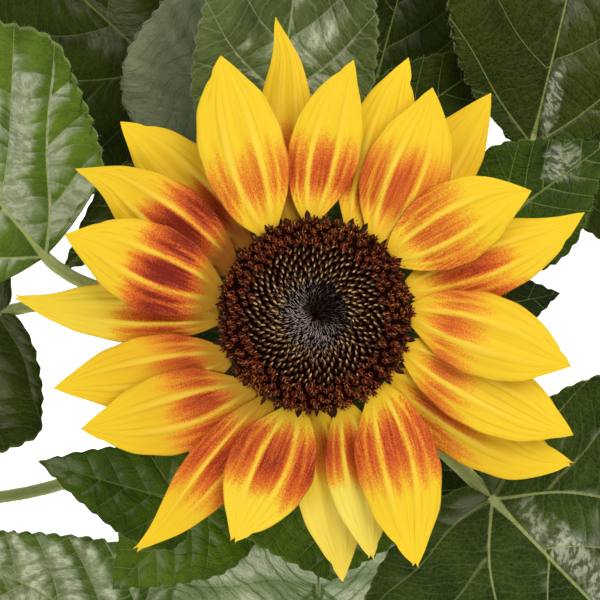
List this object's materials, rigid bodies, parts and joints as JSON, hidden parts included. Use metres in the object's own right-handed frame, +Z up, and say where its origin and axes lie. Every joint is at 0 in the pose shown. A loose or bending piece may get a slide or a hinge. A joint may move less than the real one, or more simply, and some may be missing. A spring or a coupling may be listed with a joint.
{
  "type": "sunflower plant",
  "caption": "Dwarf sunflower plant rooted in level ground: leaning green stem, heart-shaped leaves on stalks and an upward-facing yellow bloom flamed red-brown round a dark seed disc.",
  "frame": {"origin": "middle of the flat cut under the stem, at ground level", "axes": "+Z up; seen from above with +Y away from the viewer, the stem leans towards +X and a little -Y"},
  "size_m": [0.351, 0.3357, 0.3369],
  "materials": {
    "stem": "matte, hairy green skin",
    "stalk": "matte, hairy light green skin",
    "cup": "matte, hairy green",
    "disc": "matte brown-black florets",
    "ray": "satin yellow, flamed red-brown towards the foot",
    "leaf": "waxy dark green with pale veins"
  },
  "bodies": {
    "root": {"stem": "stem", "flower_cup": "cup", "seed_disc": "disc", "ray_01": "ray", "ray_02": "ray", "ray_03": "ray", "ray_04": "ray", "ray_05": "ray", "ray_06": "ray", "ray_07": "ray", "ray_08": "ray", "ray_09": "ray", "ray_10": "ray", "ray_11": "ray", "ray_12": "ray", "ray_13": "ray", "ray_14": "ray", "ray_15": "ray", "ray_16": "ray", "ray_17": "ray", "ray_18": "ray", "ray_19": "ray", "ray_20": "ray", "ray_21": "ray", "ray_22": "ray", "leaf_stalk_01": "stalk", "leaf_01": "leaf", "leaf_stalk_02": "stalk", "leaf_02": "leaf", "leaf_stalk_03": "stalk", "leaf_03": "leaf", "leaf_stalk_04": "stalk", "leaf_04": "leaf", "leaf_stalk_05": "stalk", "leaf_05": "leaf", "leaf_stalk_06": "stalk", "leaf_06": "leaf", "leaf_07": "leaf", "leaf_stalk_08": "stalk", "leaf_08": "leaf", "leaf_stalk_09": "stalk", "leaf_09": "leaf", "leaf_10": "leaf", "leaf_11": "leaf", "leaf_stalk_12": "stalk", "leaf_12": "leaf", "leaf_stalk_13": "stalk", "leaf_13": "leaf", "leaf_14": "leaf", "leaf_stalk_15": "stalk", "leaf_15": "leaf", "leaf_stalk_16": "stalk", "leaf_16": "leaf", "leaf_stalk_17": "stalk", "leaf_17": "leaf", "leaf_stalk_18": "stalk", "leaf_18": "leaf", "leaf_19": "leaf", "leaf_20": "leaf"}
  },
  "joints": []
}
